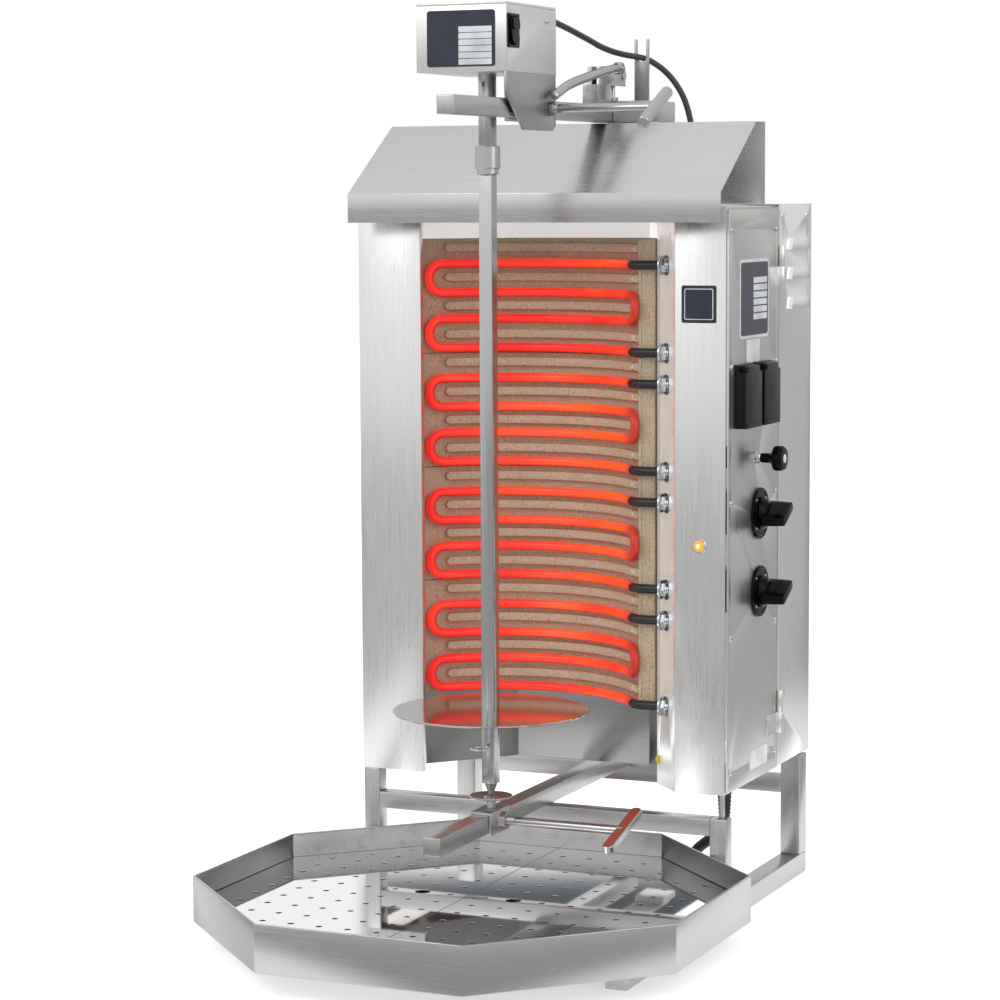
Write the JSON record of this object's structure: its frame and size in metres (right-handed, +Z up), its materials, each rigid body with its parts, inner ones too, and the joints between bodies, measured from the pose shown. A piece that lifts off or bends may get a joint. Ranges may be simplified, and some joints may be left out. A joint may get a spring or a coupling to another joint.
{
  "type": "vertical rotisserie broiler",
  "caption": "Floor or counter standing electric vertical broiler with a motor driven skewer, curved heated back wall, control cabinet and sliding drip tray.",
  "frame": {"origin": "on the ground, at the middle of the machine's footprint", "axes": "+X to the operator's right, +Y to the back, +Z up along the skewer"},
  "size_m": [0.572, 0.783, 1.034],
  "materials": {
    "brushed_stainless": "brushed sheet",
    "side_stainless": "brushed sheet",
    "tube_stainless": "drawn tube",
    "polished_stainless": "polished bar",
    "reflector": "bright rolled",
    "zinc": "zinc plated",
    "tube_element": "glowing sheath",
    "brick_ceramic": "fired ceramic fibre board",
    "terminal_ceramic": "glazed",
    "black_plastic": "moulded",
    "grey_plastic": "moulded, fine texture",
    "lamp_amber": "lit lens",
    "label_film": "satin film, blank",
    "motor_alloy": "die cast",
    "cord_grey": "sheathed cord",
    "cord_black": "sheathed cord",
    "plug_plastic": "moulded"
  },
  "bodies": {
    "root": {"base_rail_left": "tube_stainless", "base_rail_right": "tube_stainless", "front_legs": "tube_stainless", "rear_post_left": "tube_stainless", "rear_post_right": "tube_stainless", "front_crossbar": "tube_stainless", "rear_crossbar": "tube_stainless", "lower_arm": "tube_stainless", "left_panel": "brushed_stainless", "control_cabinet": "brushed_stainless", "side_panel": "side_stainless", "back_wall": "reflector", "rear_panel": "brushed_stainless", "hood": "brushed_stainless", "panel_screws": "zinc", "hinges": "side_stainless", "ceramic_bricks": "brick_ceramic", "heating_elements": "tube_element", "terminal_nuts": "zinc", "terminal_block": "terminal_ceramic", "switch_bodies": "black_plastic", "control_bezels": "black_plastic", "socket_housings": "grey_plastic", "indicator_lamp": "lamp_amber", "label_plates": "label_film", "arm_pillar": "tube_stainless", "upper_arm": "tube_stainless", "cable_fork": "brushed_stainless", "latch_clamp": "polished_stainless", "motor_cord_rear": "cord_grey", "mains_gland": "cord_black", "mains_lead": "cord_black", "mains_coil": "cord_black", "mains_plug": "plug_plastic"},
    "motor_carriage": {"motor_box": "brushed_stainless", "motor_cover": "brushed_stainless", "motor_bracket": "tube_stainless", "gear_motor": "motor_alloy", "motor_label": "label_film", "motor_cord_front": "cord_grey"},
    "rocker": {"rocker_switch": "black_plastic"},
    "upper_screw": {"upper_clamp_screw": "polished_stainless"},
    "spit": {"drive_shaft": "polished_stainless", "coupling_sleeve": "polished_stainless", "skewer_bar": "polished_stainless", "disc_clip": "zinc"},
    "disc": {"meat_disc": "reflector"},
    "lower_carriage": {"lower_saddle": "tube_stainless", "bearing_cup": "polished_stainless"},
    "lower_screw": {"lower_clamp_screw": "polished_stainless"},
    "latch": {"cam_lever": "polished_stainless"},
    "tray": {"drip_tray": "brushed_stainless"},
    "insert_left": {"tray_insert_left": "reflector"},
    "insert_right": {"tray_insert_right": "reflector"},
    "upper_knob": {"knob_upper": "black_plastic"},
    "lower_knob": {"knob_lower": "black_plastic"},
    "puller": {"pull_knob": "black_plastic"},
    "front_lid": {"socket_lid_front": "grey_plastic"},
    "rear_lid": {"socket_lid_rear": "grey_plastic"},
    "cover": {"rear_cover": "side_stainless"}
  },
  "joints": [
    {"name": "motor_slide", "type": "slide", "parent": "root", "child": "motor_carriage", "axis": [0, -1, 0], "range_m": [0, 0.1]},
    {"name": "foot_slide", "type": "slide", "parent": "root", "child": "lower_carriage", "axis": [0, -1, 0], "range_m": [0, 0.1]},
    {"name": "rocker_tilt", "type": "hinge", "parent": "motor_carriage", "child": "rocker", "pos_m": [0.054, -0.101, 1.0035], "axis": [0, 1, 0], "range_deg": [0, 10]},
    {"name": "upper_screw_turn", "type": "hinge", "parent": "motor_carriage", "child": "upper_screw", "pos_m": [0.053, 0.0035, 0.923], "axis": [1, 0, 0], "continuous": true},
    {"name": "lower_screw_turn", "type": "hinge", "parent": "lower_carriage", "child": "lower_screw", "pos_m": [0.013, -0.0505, 0.131], "axis": [1, 0, 0], "continuous": true},
    {"name": "spit_spin", "type": "hinge", "parent": "motor_carriage", "child": "spit", "pos_m": [0, -0.0505, 0.94], "axis": [0, 0, 1], "continuous": true},
    {"name": "disc_lift", "type": "slide", "parent": "spit", "child": "disc", "axis": [0, 0, 1], "range_m": [0, 0.55]},
    {"name": "latch_lift", "type": "hinge", "parent": "root", "child": "latch", "pos_m": [0.0595, 0.1915, 0.974], "axis": [-1, 0, 0], "range_deg": [0, 75]},
    {"name": "tray_pull", "type": "slide", "parent": "root", "child": "tray", "axis": [0, -1, 0], "range_m": [0, 0.42]},
    {"name": "insert_left_lift", "type": "slide", "parent": "tray", "child": "insert_left", "axis": [0, 0, 1], "range_m": [0, 0.05]},
    {"name": "insert_right_lift", "type": "slide", "parent": "tray", "child": "insert_right", "axis": [0, 0, 1], "range_m": [0, 0.05]},
    {"name": "upper_knob_turn", "type": "hinge", "parent": "root", "child": "upper_knob", "pos_m": [0.23, 0.2015, 0.4605], "axis": [1, 0, 0], "range_deg": [0, 270]},
    {"name": "lower_knob_turn", "type": "hinge", "parent": "root", "child": "lower_knob", "pos_m": [0.23, 0.2015, 0.3695], "axis": [1, 0, 0], "range_deg": [0, 270]},
    {"name": "pull_switch", "type": "slide", "parent": "root", "child": "puller", "axis": [1, 0, 0], "range_m": [0, 0.008]},
    {"name": "front_lid_flip", "type": "hinge", "parent": "root", "child": "front_lid", "pos_m": [0.2385, 0.1405, 0.632], "axis": [0, -1, 0], "range_deg": [0, 95]},
    {"name": "rear_lid_flip", "type": "hinge", "parent": "root", "child": "rear_lid", "pos_m": [0.2385, 0.2065, 0.632], "axis": [0, -1, 0], "range_deg": [0, 95]},
    {"name": "cover_swing", "type": "hinge", "parent": "root", "child": "cover", "pos_m": [0.2335, 0.2695, 0.48], "axis": [0, 0, -1], "range_deg": [0, 100]}
  ],
  "couplings": [
    {"joint": "foot_slide", "follows": "motor_slide", "ratio": 1}
  ]
}
